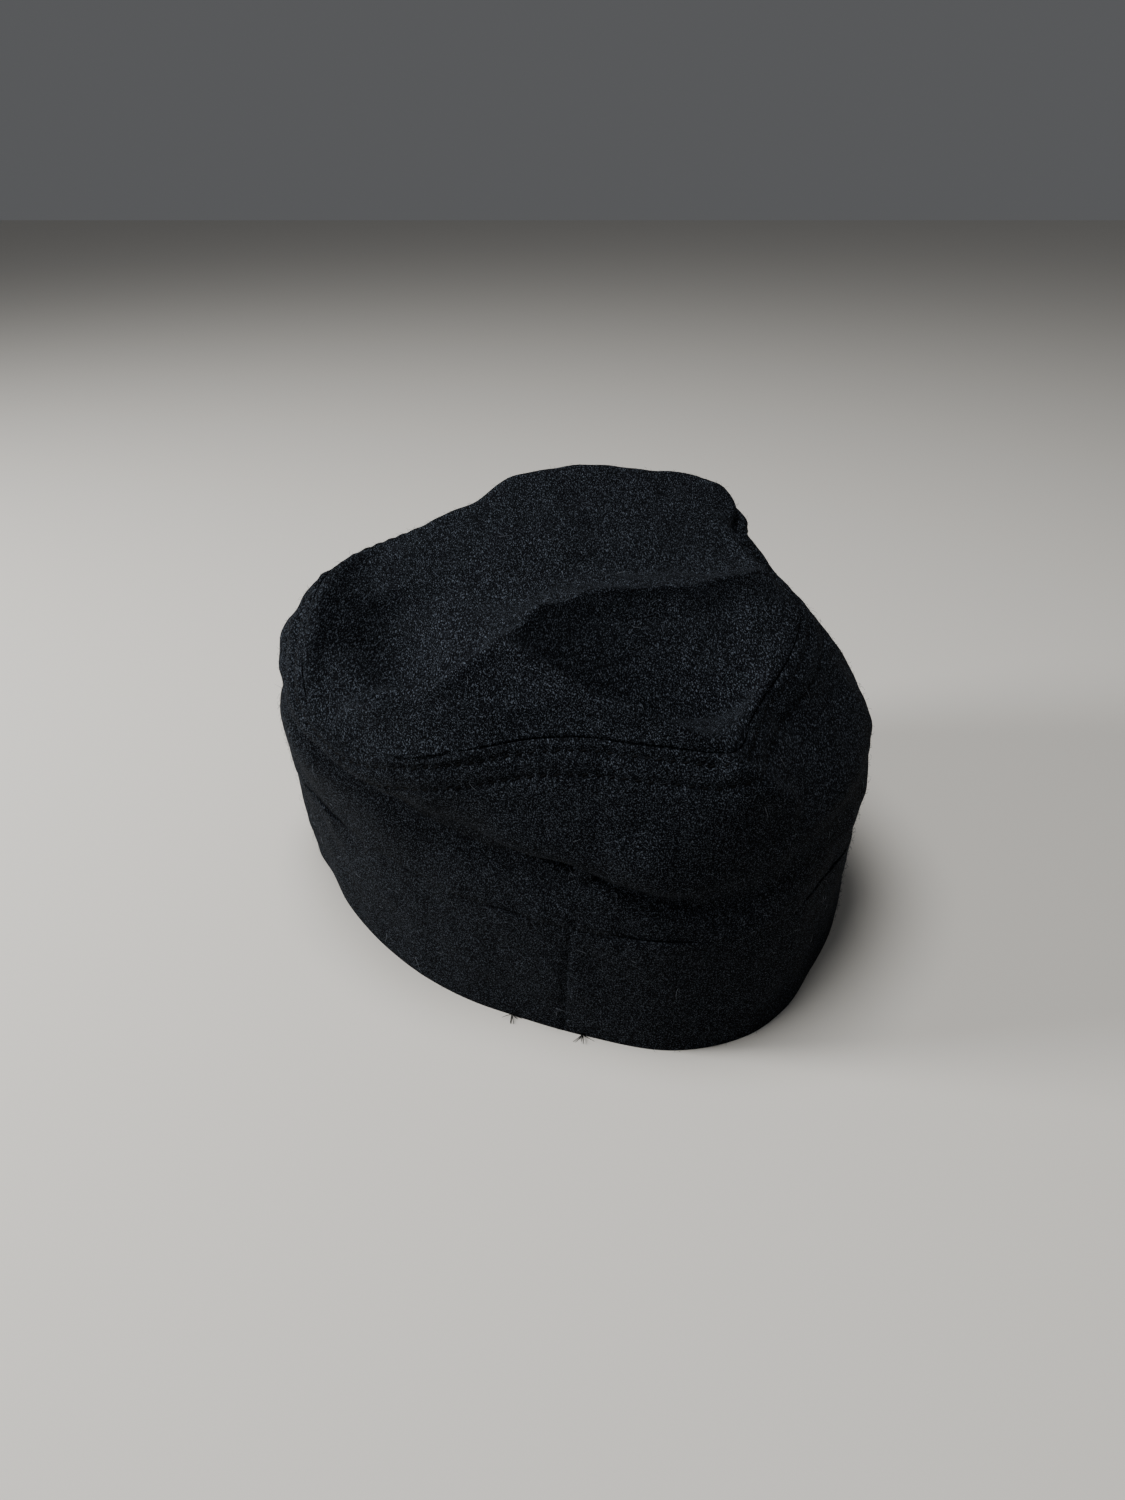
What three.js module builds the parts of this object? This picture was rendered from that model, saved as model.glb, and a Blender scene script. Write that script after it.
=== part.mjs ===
// A brimless cap of thick wool cloth, slouched, lying on its opening.
// A band, a tall side wall that hangs over itself in one lip, and an oval tip that has sunk
// between crests. Millimetres, +Z up, the front towards -Y, the origin on the floor below
// the middle of the cap's box.
import * as THREE from 'three';

// Driving sizes
const opening_girth = 582;
const tip_girth = 545;
const band_height = 39;
const wall_height = 78;
const fold_depth = 12;
const cloth_thickness = 2.2;
const seam_gap = 0.3;
const seam_ditch = 0.9;
const crest_round = 3.5;
const net_pitch = 3.1;

// Counts of the mesh
const columns = 80;
const band_rows = 3;
const bay_rows = 3;
const tip_rings = 9;
const relax_passes = 260;
const smooth_passes = 2;

const wool_cloth = { color: 0x25272b, roughness: 1, metalness: 0 };
const opening_radius = opening_girth / (2 * Math.PI);
const tip_radius = tip_girth / (2 * Math.PI);

// Upright sections of the wall, one row each. turn is in degrees, anticlockwise from the right.
// floor, seam, bulge, lip and shoulder are shares of opening_radius, and rim of tip_radius.
// tuck is how far the wall goes in under its lip, as a share of fold_depth.
// Each height column, ending in _up, is a share of wall_height above the band.
const section_columns = [
  'turn', 'floor', 'seam', 'bulge', 'bulge_up', 'tuck', 'tuck_up', 'lip', 'lip_up',
  'shoulder', 'shoulder_up', 'rim', 'rim_up',
];
const section_rows = [
  [0, 1.05, 1.06, 1.07, 0.14, 0.00, 0.26, 1.07, 0.37, 0.97, 0.58, 0.89, 0.75],
  [22, 1.02, 1.02, 1.03, 0.14, 0.00, 0.27, 1.04, 0.39, 0.95, 0.64, 0.89, 0.77],
  [40, 0.99, 1.00, 1.00, 0.15, 0.05, 0.28, 1.02, 0.42, 0.955, 0.82, 0.93, 0.86],
  [47, 0.985, 0.995, 1.005, 0.15, 0.07, 0.29, 1.04, 0.435, 1.07, 0.85, 1.10, 0.92],
  [55, 0.98, 1.00, 1.01, 0.15, 0.10, 0.30, 1.06, 0.45, 1.12, 0.83, 1.19, 0.97],
  [70, 0.97, 0.99, 1.02, 0.16, 0.10, 0.30, 1.06, 0.46, 1.10, 0.81, 1.11, 1.00],
  [90, 0.99, 1.01, 1.03, 0.17, 0.10, 0.32, 1.06, 0.48, 1.07, 0.82, 1.06, 1.00],
  [103, 1.01, 1.03, 1.04, 0.17, 0.05, 0.32, 1.06, 0.48, 1.05, 0.79, 1.02, 0.96],
  [117, 1.03, 1.04, 1.05, 0.16, 0.00, 0.32, 1.06, 0.47, 1.02, 0.72, 0.98, 0.87],
  [135, 1.05, 1.06, 1.07, 0.16, 0.00, 0.30, 1.06, 0.44, 1.01, 0.66, 0.97, 0.82],
  [157, 1.04, 1.06, 1.08, 0.20, 0.05, 0.34, 1.06, 0.46, 1.01, 0.65, 0.98, 0.80],
  [175, 0.98, 1.03, 1.045, 0.33, 0.25, 0.50, 1.02, 0.59, 0.96, 0.68, 0.96, 0.75],
  [187, 0.89, 0.96, 1.00, 0.30, 0.45, 0.44, 0.985, 0.52, 0.95, 0.59, 0.96, 0.69],
  [200, 0.85, 0.89, 0.94, 0.26, 0.75, 0.40, 0.96, 0.46, 0.95, 0.53, 0.98, 0.61],
  [212, 0.83, 0.85, 0.87, 0.22, 1.05, 0.36, 0.94, 0.43, 0.95, 0.48, 1.00, 0.54],
  [225, 0.83, 0.84, 0.84, 0.20, 1.15, 0.33, 0.91, 0.39, 0.93, 0.44, 0.98, 0.51],
  [238, 0.85, 0.85, 0.83, 0.17, 0.85, 0.29, 0.87, 0.35, 0.90, 0.43, 0.97, 0.56],
  [250, 0.88, 0.88, 0.86, 0.15, 0.65, 0.26, 0.86, 0.32, 0.89, 0.44, 0.92, 0.61],
  [262, 0.92, 0.93, 0.91, 0.13, 0.70, 0.24, 0.92, 0.29, 0.90, 0.46, 0.86, 0.65],
  [275, 1.00, 1.01, 0.99, 0.12, 0.40, 0.21, 0.98, 0.28, 0.93, 0.48, 0.87, 0.67],
  [288, 1.11, 1.11, 1.10, 0.06, 0.20, 0.14, 1.09, 0.23, 1.01, 0.48, 0.97, 0.67],
  [300, 1.15, 1.15, 1.14, 0.06, 0.05, 0.15, 1.12, 0.28, 1.09, 0.50, 1.06, 0.65],
  [310, 1.13, 1.14, 1.14, 0.10, 0.00, 0.21, 1.12, 0.32, 1.04, 0.50, 0.95, 0.67],
  [322, 1.08, 1.10, 1.11, 0.13, 0.00, 0.24, 1.10, 0.34, 0.96, 0.52, 0.88, 0.68],
  [340, 1.06, 1.08, 1.10, 0.14, 0.00, 0.25, 1.09, 0.36, 0.96, 0.56, 0.86, 0.70],
];
const sections = section_rows.map((row) => {
  const pairs = section_columns.map((name, column) => [name, row[column]]);
  return Object.fromEntries(pairs);
});

// Folds of the tip, one row for each bend of a fold line. x and y are shares of tip_radius from
// the middle, and up is a share of wall_height above the band. Crests stand, hollows are sunk.
const fold_columns = ['fold', 'x', 'y', 'up'];
const fold_rows = [
  ['left crest', -0.21, -0.54, 0.87],
  ['left crest', -0.30, -0.63, 0.83],
  ['left crest', -0.40, -0.68, 0.75],
  ['left crest', -0.56, -0.65, 0.68],
  ['left crest', -0.75, -0.60, 0.64],
  ['right crest', -0.21, -0.54, 0.87],
  ['right crest', -0.10, -0.62, 0.84],
  ['right crest', 0.12, -0.79, 0.77],
  ['right crest', 0.34, -0.88, 0.74],
  ['right crest', 0.46, -0.93, 0.70],
  ['far crest', -0.21, -0.54, 0.87],
  ['far crest', -0.08, -0.25, 0.86],
  ['far crest', 0.10, -0.10, 0.86],
  ['far crest', 0.47, -0.01, 0.85],
  ['far crest', 0.67, 0.09, 0.85],
  ['far crest', 0.80, 0.23, 0.84],
  ['rear valley', -0.35, -0.15, 0.76],
  ['rear valley', 0.00, 0.20, 0.80],
  ['rear valley', 0.45, 0.28, 0.81],
  ['rear crest', 0.67, 0.89, 1.01],
  ['rear crest', 0.53, 0.95, 1.035],
  ['rear crest', 0.30, 0.95, 1.055],
  ['rear crest', 0.02, 0.97, 1.07],
  ['rear crest', -0.22, 0.90, 1.03],
  ['rear crest', -0.39, 0.76, 0.93],
  ['rear crest', -0.60, 0.64, 0.85],
  ['left hollow', -0.81, 0.23, 0.72],
  ['left hollow', -0.70, 0.00, 0.66],
  ['left hollow', -0.63, -0.24, 0.60],
  ['left hollow', -0.55, -0.42, 0.60],
  ['right hollow', 0.02, -0.52, 0.64],
  ['right hollow', 0.30, -0.60, 0.56],
  ['right hollow', 0.55, -0.55, 0.57],
  ['far foot', 0.03, -0.27, 0.77],
  ['far foot', 0.17, -0.20, 0.76],
  ['far foot', 0.47, -0.13, 0.76],
  ['far foot', 0.66, -0.03, 0.77],
];

function throughFour(before, from, to, after, part) {
  return throughSlopes(from, to, (to - before) / 2, (after - from) / 2, part);
}

// A cubic from one value to the next, with its slopes at both ends.
function throughSlopes(from, to, slope_from, slope_to, part) {
  const rise = to - from;
  const bend = 3 * rise - 2 * slope_from - slope_to;
  const twist = slope_from + slope_to - 2 * rise;
  return from + part * (slope_from + part * (bend + part * twist));
}

// A column of the section table at any turn, on a smooth line that closes on itself.
function around(column, turn) {
  const degrees = ((turn % 1) + 1) % 1 * 360;
  const count = sections.length;
  const row = sections.findLastIndex((section) => section.turn <= degrees);
  const at = (step) => sections[(row + step + count) % count];
  const span = (one, next) => ((next.turn - one.turn + 360) % 360);
  const slope = (one, next) => (next[column] - one[column]) / (span(one, next));
  const width = span(at(0), at(1));
  return throughSlopes(
    at(0)[column],
    at(1)[column],
    slope(at(-1), at(1)) * width,
    slope(at(0), at(2)) * width,
    (degrees - at(0).turn) / width,
  );
}

function heightOf(share) {
  return band_height + share * wall_height;
}

// The wall's profile at one turn: radius and height of the floor, the band's seam, the bulge above
// it, the tuck under the lip, the lip, the shoulder and the rim.
function profileAt(turn) {
  const tuck_depth = around('tuck', turn) * fold_depth;
  const tuck_radius = around('lip', turn) * opening_radius - tuck_depth;
  const radiusOf = (column) => around(column, turn) * opening_radius;
  const upOf = (column) => heightOf(around(column, turn));
  const points = [
    new THREE.Vector3(radiusOf('floor'), 0, 0),
    new THREE.Vector3(radiusOf('seam'), 0, band_height),
    new THREE.Vector3(radiusOf('bulge'), 0, upOf('bulge_up')),
    new THREE.Vector3(tuck_radius, 0, upOf('tuck_up')),
    new THREE.Vector3(radiusOf('lip'), 0, upOf('lip_up')),
    new THREE.Vector3(radiusOf('shoulder'), 0, upOf('shoulder_up')),
    new THREE.Vector3(around('rim', turn) * tip_radius, 0, upOf('rim_up')),
  ];
  return new THREE.CatmullRomCurve3(points, false, 'centripetal');
}

const bays = 6;

// A point of the wall's outer face. bay runs from 0 at the floor, through 1 at the band's seam, to 6
// at the tip's seam.
function wallPoint(turn, bay) {
  const flat = profileAt(turn).getPoint(bay / bays);
  return flat.applyAxisAngle(new THREE.Vector3(0, 0, 1), 2 * Math.PI * turn);
}

const small_turn = 0.002;
const small_bay = 0.02;

function wallNormal(turn, bay) {
  const below = Math.max(bay - small_bay, 0);
  const above = Math.min(bay + small_bay, bays);
  const along = wallPoint(turn + small_turn, bay).sub(wallPoint(turn - small_turn, bay));
  const up = wallPoint(turn, above).sub(wallPoint(turn, below));
  return along.cross(up).normalize();
}

function rimPoint(turn) {
  return wallPoint(turn, bays);
}

// Distance from a point of the plan to a stretch of a fold line, and the line's height there.
function stretchAt(x, y, from, to) {
  const run_x = to.x - from.x;
  const run_y = to.y - from.y;
  const along = ((x - from.x) * run_x + (y - from.y) * run_y) / (run_x * run_x + run_y * run_y);
  const part = Math.min(Math.max(along, 0), 1);
  return {
    distance: Math.hypot(x - from.x - part * run_x, y - from.y - part * run_y),
    height: from.z + part * (to.z - from.z),
  };
}

function foldStretches() {
  const points = fold_rows.map((row) => {
    const named = Object.fromEntries(fold_columns.map((name, column) => [name, row[column]]));
    const place = new THREE.Vector3(named.x * tip_radius, named.y * tip_radius, heightOf(named.up));
    return { fold: named.fold, place };
  });
  const stretches = [];
  for (let i = 1; i < points.length; i += 1) {
    if (points[i].fold === points[i - 1].fold) {
      stretches.push([points[i - 1].place, points[i].place]);
    }
  }
  return stretches;
}

// The sunk tip is a net stretched over its rim and its fold lines, as thin cloth would be.
const net_reach = 1.3 * tip_radius;
const net_cells = 2 * Math.round(net_reach / net_pitch);
const net_step = 2 * net_reach / net_cells;
const fold_pull = 3;
const overshoot = 2 / (1 + Math.sin(Math.PI / net_cells));

function stretchedNet() {
  const side = net_cells + 1;
  const heights = new Float64Array(side * side);
  const pulls = new Float64Array(side * side);
  const targets = new Float64Array(side * side);
  const free = [];
  const stretches = foldStretches();
  for (let row = 0; row < side; row += 1) {
    for (let column = 0; column < side; column += 1) {
      const node = row * side + column;
      const x = column * net_step - net_reach;
      const y = row * net_step - net_reach;
      const rim = rimPoint(Math.atan2(y, x) / (2 * Math.PI));
      heights[node] = rim.z;
      if (Math.hypot(x, y) >= Math.hypot(rim.x, rim.y)) {
        continue;
      }
      for (const [from, to] of stretches) {
        const near = stretchAt(x, y, from, to);
        const pull = Math.exp(-((near.distance / crest_round) ** 2));
        pulls[node] += pull;
        targets[node] += pull * near.height;
      }
      free.push(node);
    }
  }
  for (let pass = 0; pass < relax_passes + smooth_passes; pass += 1) {
    const still_pulled = pass < relax_passes;
    for (const node of free) {
      const beside = heights[node - 1] + heights[node + 1] + heights[node - side] + heights[node + side];
      const pulled = still_pulled ? fold_pull : 0;
      const goal = (beside + pulled * targets[node]) / (4 + pulled * pulls[node]);
      heights[node] += (still_pulled ? overshoot : 1) * (goal - heights[node]);
    }
  }
  return heights;
}

const net = stretchedNet();

function tipHeight(x, y) {
  const side = net_cells + 1;
  const across = (x + net_reach) / net_step;
  const along = (y + net_reach) / net_step;
  const column = Math.min(Math.max(Math.floor(across), 1), net_cells - 2);
  const row = Math.min(Math.max(Math.floor(along), 1), net_cells - 2);
  const lines = [-1, 0, 1, 2].map((step) => {
    const start = (row + step) * side + column;
    return throughFour(net[start - 1], net[start], net[start + 1], net[start + 2], across - column);
  });
  return throughFour(...lines, along - row);
}

// A point of the tip's outer face. share is 1 at the seam and 0 in the middle.
function tipPoint(turn, share) {
  const rim = rimPoint(turn);
  const x = rim.x * share;
  const y = rim.y * share;
  const inner = tipHeight(x, y);
  const edge = THREE.MathUtils.smoothstep(share, 0.9, 1);
  return new THREE.Vector3(x, y, inner + edge * (rim.z - inner));
}

const small_step = 0.8;

function tipNormal(turn, share) {
  const point = tipPoint(turn, Math.min(share, 0.97));
  const slope_x = tipHeight(point.x + small_step, point.y) - tipHeight(point.x - small_step, point.y);
  const slope_y = tipHeight(point.x, point.y + small_step) - tipHeight(point.x, point.y - small_step);
  return new THREE.Vector3(-slope_x, -slope_y, 2 * small_step).normalize();
}

// Both cloths end at the tip's seam on one mitre, which halves the angle between them.
function mitreAt(turn) {
  const inward = wallNormal(turn, bays).add(tipNormal(turn, 1)).normalize().negate();
  const along = rimPoint(turn + small_turn).sub(rimPoint(turn - small_turn));
  const to_tip = along.clone().cross(inward).normalize();
  const rim = rimPoint(turn);
  if (to_tip.x * rim.x + to_tip.y * rim.y > 0) {
    to_tip.negate();
  }
  return { inward, to_tip };
}

// A closed cloth strip: rings of outer points and of inner points, all with one point a column.
// The rings run from the first edge over the outer face, and back over the inner face.
function closedStrip(outer_rings, inner_rings) {
  const rings = [...outer_rings, ...inner_rings.slice().reverse()];
  const positions = rings.flatMap((ring) => ring.flatMap((point) => point.toArray()));
  const indices = [];
  for (let ring = 0; ring < rings.length; ring += 1) {
    const next_ring = (ring + 1) % rings.length;
    for (let column = 0; column < columns; column += 1) {
      const next_column = (column + 1) % columns;
      const a = ring * columns + column;
      const b = ring * columns + next_column;
      const c = next_ring * columns + next_column;
      const d = next_ring * columns + column;
      indices.push(a, b, c, a, c, d);
    }
  }
  return meshGeometry(positions, indices);
}

// A closed cloth disc: rings from the rim inwards, and one middle point for each face.
function closedDisc(outer_rings, outer_middle, inner_rings, inner_middle) {
  const rings = [...inner_rings.slice().reverse(), ...outer_rings];
  const positions = rings.flatMap((ring) => ring.flatMap((point) => point.toArray()));
  const inner_pole = positions.length / 3;
  const outer_pole = inner_pole + 1;
  positions.push(...inner_middle.toArray(), ...outer_middle.toArray());
  const indices = [];
  for (let column = 0; column < columns; column += 1) {
    const next_column = (column + 1) % columns;
    const last = (rings.length - 1) * columns;
    indices.push(inner_pole, next_column, column);
    indices.push(outer_pole, last + column, last + next_column);
    for (let ring = 0; ring < rings.length - 1; ring += 1) {
      const a = ring * columns + column;
      const b = ring * columns + next_column;
      const c = (ring + 1) * columns + next_column;
      const d = (ring + 1) * columns + column;
      indices.push(a, b, c, a, c, d);
    }
  }
  return meshGeometry(positions, indices);
}

function meshGeometry(positions, indices) {
  const geometry = new THREE.BufferGeometry();
  geometry.setAttribute('position', new THREE.Float32BufferAttribute(positions, 3));
  geometry.setIndex(indices);
  return geometry;
}

const turns = Array.from({ length: columns }, (_, column) => column / columns);

function ringOf(place) {
  return turns.map(place);
}

function outerWall(turn, bay) {
  return wallPoint(turn, bay);
}

function innerWall(turn, bay) {
  return wallPoint(turn, bay).addScaledVector(wallNormal(turn, bay), -cloth_thickness);
}

// The band stands on the floor on a flat edge, and its top edge is pressed in at the seam.
function bandGeometry() {
  const outer = [];
  const inner = [];
  for (let row = 0; row <= band_rows; row += 1) {
    const bay = row / band_rows;
    outer.push(ringOf((turn) => {
      const ditch = row === band_rows ? seam_ditch : 0;
      return outerWall(turn, bay).addScaledVector(wallNormal(turn, bay), -ditch);
    }));
    inner.push(ringOf((turn) => {
      const point = innerWall(turn, bay);
      point.z = row === 0 ? 0 : point.z;
      return point;
    }));
  }
  return closedStrip(outer, inner);
}

// The side wall starts a gap above the band, and ends on the mitre of the tip's seam.
function sideWallGeometry() {
  const outer = [];
  const inner = [];
  const rows = (bays - 1) * bay_rows;
  for (let row = 0; row <= rows; row += 1) {
    const bay = 1 + row / bay_rows;
    const lift = row === 0 ? seam_gap : 0;
    const ditch = row === 0 ? seam_ditch : 0;
    const on_mitre = row === rows;
    outer.push(ringOf((turn) => {
      if (on_mitre) {
        return rimPoint(turn).addScaledVector(mitreAt(turn).inward, seam_ditch);
      }
      const point = outerWall(turn, bay).addScaledVector(wallNormal(turn, bay), -ditch);
      point.z += lift;
      return point;
    }));
    inner.push(ringOf((turn) => {
      if (on_mitre) {
        return rimPoint(turn).addScaledVector(mitreAt(turn).inward, cloth_thickness);
      }
      const point = innerWall(turn, bay);
      point.z += lift;
      return point;
    }));
  }
  return closedStrip(outer, inner);
}

// The tip starts a gap inside the side wall's mitre, and its rings run to the middle.
function topPanelGeometry() {
  const outer = [];
  const inner = [];
  for (let ring = 0; ring < tip_rings; ring += 1) {
    const share = 1 - (ring / tip_rings) ** 1.15;
    const face = (turn, depth) => {
      if (ring === 0) {
        const mitre = mitreAt(turn);
        const edge = rimPoint(turn).addScaledVector(mitre.to_tip, seam_gap);
        return edge.addScaledVector(mitre.inward, Math.max(depth, seam_ditch));
      }
      return tipPoint(turn, share).addScaledVector(tipNormal(turn, share), -depth);
    };
    outer.push(ringOf((turn) => face(turn, 0)));
    inner.push(ringOf((turn) => face(turn, cloth_thickness)));
  }
  const outer_middle = tipPoint(0, 0);
  const inner_middle = outer_middle.clone().addScaledVector(tipNormal(0, 0), -cloth_thickness);
  return closedDisc(outer, outer_middle, inner, inner_middle);
}

function clothPiece(name, geometry) {
  const piece = new THREE.Mesh(geometry, new THREE.MeshStandardMaterial(wool_cloth));
  piece.name = name;
  return piece;
}

const cap = new THREE.Group();
cap.add(clothPiece('band', bandGeometry()));
cap.add(clothPiece('side_wall', sideWallGeometry()));
cap.add(clothPiece('top_panel', topPanelGeometry()));

// The floor's point below the middle of the cap's box is the origin.
const box = new THREE.Box3().setFromObject(cap);
const middle = box.getCenter(new THREE.Vector3());
cap.position.set(-middle.x, -middle.y, -box.min.z);

export default cap;
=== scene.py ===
# %% [markdown]
# # A slouched cap of black wool
# The cap is a band, a tall side wall and an oval tip, cut from thick wool melton and sewn together.
# It lies on its opening, the wall hangs over itself in one long lip, and the tip has sunk between
# crests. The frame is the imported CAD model, and everything here is placed from it, in metres.

import math

import bmesh
import bpy
import numpy as np
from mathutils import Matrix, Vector


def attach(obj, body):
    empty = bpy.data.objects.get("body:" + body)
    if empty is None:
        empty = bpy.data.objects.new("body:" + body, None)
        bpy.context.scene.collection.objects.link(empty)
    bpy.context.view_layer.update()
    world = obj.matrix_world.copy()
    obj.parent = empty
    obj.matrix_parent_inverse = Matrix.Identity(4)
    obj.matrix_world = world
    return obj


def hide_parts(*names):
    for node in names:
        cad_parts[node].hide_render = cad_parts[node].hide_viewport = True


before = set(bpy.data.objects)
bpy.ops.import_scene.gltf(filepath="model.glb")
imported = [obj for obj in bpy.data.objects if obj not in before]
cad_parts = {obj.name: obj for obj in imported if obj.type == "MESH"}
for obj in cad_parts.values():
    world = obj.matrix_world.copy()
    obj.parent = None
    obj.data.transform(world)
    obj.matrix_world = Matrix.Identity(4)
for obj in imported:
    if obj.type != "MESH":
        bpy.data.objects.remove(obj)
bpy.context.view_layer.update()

# %% [markdown]
# ## The camera
# The cap was looked down on from the front, at about 29 degrees below level, with a lens close to
# it. The camera stands at that place, so that the wall, the lip and the sunk tip overlap each other
# as they did there.

# %% Camera
MM = 0.001
CAP_SHIFT = np.array([-1.429, -0.872, 0.0])
CAMERA_PLACE = np.array([0.0, -340.0, 235.0]) + CAP_SHIFT
CAMERA_PITCH = math.radians(29.2)
CAMERA_LENS = 27.05

camera_data = bpy.data.cameras.new("camera")
camera_data.lens = CAMERA_LENS
camera_data.clip_start = 0.01
camera = bpy.data.objects.new("camera", camera_data)
camera.location = Vector(CAMERA_PLACE * MM)
camera.rotation_euler = (math.pi / 2 - CAMERA_PITCH, 0, 0)
bpy.context.scene.collection.objects.link(camera)
bpy.context.scene.camera = camera
print("camera at", tuple(round(part, 4) for part in camera.location))

# %% [markdown]
# ## The sizes of the cap
# A cap is cut from a few sizes: the girth of its opening, the girth of its tip, and the heights of
# its band and wall. The rest of its shape is how it has slumped, and that is told by two short
# tables: one of upright sections of the wall, and one of the fold lines of the tip. They are those
# of the CAD part, so the cloth lies where the solids are. Only the two feet, which make the near
# crests steeper at their backs, are added here.

# %% Sizes, in millimetres
OPENING_GIRTH = 582
TIP_GIRTH = 545
BAND_HEIGHT = 39
WALL_HEIGHT = 78
FOLD_DEPTH = 12
CLOTH_THICKNESS = 2.2
OPENING_RADIUS = OPENING_GIRTH / (2 * math.pi)
TIP_RADIUS = TIP_GIRTH / (2 * math.pi)

# Each row is one upright section. turn is in degrees, anticlockwise from the right. floor, seam,
# bulge, lip and shoulder are shares of OPENING_RADIUS, rim of TIP_RADIUS and tuck of FOLD_DEPTH.
# Columns ending in _up are shares of WALL_HEIGHT above the band.
SECTION_COLUMNS = (
    "turn", "floor", "seam", "bulge", "bulge_up", "tuck", "tuck_up", "lip", "lip_up",
    "shoulder", "shoulder_up", "rim", "rim_up",
)
SECTION_ROWS = (
    (0, 1.05, 1.06, 1.07, 0.14, 0.00, 0.26, 1.07, 0.37, 0.97, 0.58, 0.89, 0.75),
    (22, 1.02, 1.02, 1.03, 0.14, 0.00, 0.27, 1.04, 0.39, 0.95, 0.64, 0.89, 0.77),
    (40, 0.99, 1.00, 1.00, 0.15, 0.05, 0.28, 1.02, 0.42, 0.955, 0.82, 0.93, 0.86),
    (47, 0.985, 0.995, 1.005, 0.15, 0.07, 0.29, 1.04, 0.435, 1.07, 0.85, 1.10, 0.92),
    (55, 0.98, 1.00, 1.01, 0.15, 0.10, 0.30, 1.06, 0.45, 1.12, 0.83, 1.19, 0.97),
    (70, 0.97, 0.99, 1.02, 0.16, 0.10, 0.30, 1.06, 0.46, 1.10, 0.81, 1.11, 1.00),
    (90, 0.99, 1.01, 1.03, 0.17, 0.10, 0.32, 1.06, 0.48, 1.07, 0.82, 1.06, 1.00),
    (103, 1.01, 1.03, 1.04, 0.17, 0.05, 0.32, 1.06, 0.48, 1.05, 0.79, 1.02, 0.96),
    (117, 1.03, 1.04, 1.05, 0.16, 0.00, 0.32, 1.06, 0.47, 1.02, 0.72, 0.98, 0.87),
    (135, 1.05, 1.06, 1.07, 0.16, 0.00, 0.30, 1.06, 0.44, 1.01, 0.66, 0.97, 0.82),
    (157, 1.04, 1.06, 1.08, 0.20, 0.05, 0.34, 1.06, 0.46, 1.01, 0.65, 0.98, 0.80),
    (175, 0.98, 1.03, 1.045, 0.33, 0.25, 0.50, 1.02, 0.59, 0.96, 0.68, 0.96, 0.75),
    (187, 0.89, 0.96, 1.00, 0.30, 0.45, 0.44, 0.985, 0.52, 0.95, 0.59, 0.96, 0.69),
    (200, 0.85, 0.89, 0.94, 0.26, 0.75, 0.40, 0.96, 0.46, 0.95, 0.53, 0.98, 0.61),
    (212, 0.83, 0.85, 0.87, 0.22, 1.05, 0.36, 0.94, 0.43, 0.95, 0.48, 1.00, 0.54),
    (225, 0.83, 0.84, 0.84, 0.20, 1.15, 0.33, 0.91, 0.39, 0.93, 0.44, 0.98, 0.51),
    (238, 0.85, 0.85, 0.83, 0.17, 0.85, 0.29, 0.87, 0.35, 0.90, 0.43, 0.97, 0.56),
    (250, 0.88, 0.88, 0.86, 0.15, 0.65, 0.26, 0.86, 0.32, 0.89, 0.44, 0.92, 0.61),
    (262, 0.92, 0.93, 0.91, 0.13, 0.70, 0.24, 0.92, 0.29, 0.90, 0.46, 0.86, 0.65),
    (275, 1.00, 1.01, 0.99, 0.12, 0.40, 0.21, 0.98, 0.28, 0.93, 0.48, 0.87, 0.67),
    (288, 1.11, 1.11, 1.10, 0.06, 0.20, 0.14, 1.09, 0.23, 1.01, 0.48, 0.97, 0.67),
    (300, 1.15, 1.15, 1.14, 0.06, 0.05, 0.15, 1.12, 0.28, 1.09, 0.50, 1.06, 0.65),
    (310, 1.13, 1.14, 1.14, 0.10, 0.00, 0.21, 1.12, 0.32, 1.04, 0.50, 0.95, 0.67),
    (322, 1.08, 1.10, 1.11, 0.13, 0.00, 0.24, 1.10, 0.34, 0.96, 0.52, 0.88, 0.68),
    (340, 1.06, 1.08, 1.10, 0.14, 0.00, 0.25, 1.09, 0.36, 0.96, 0.56, 0.86, 0.70),
)
SECTIONS = dict(zip(SECTION_COLUMNS, np.array(SECTION_ROWS, float).T))

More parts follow.
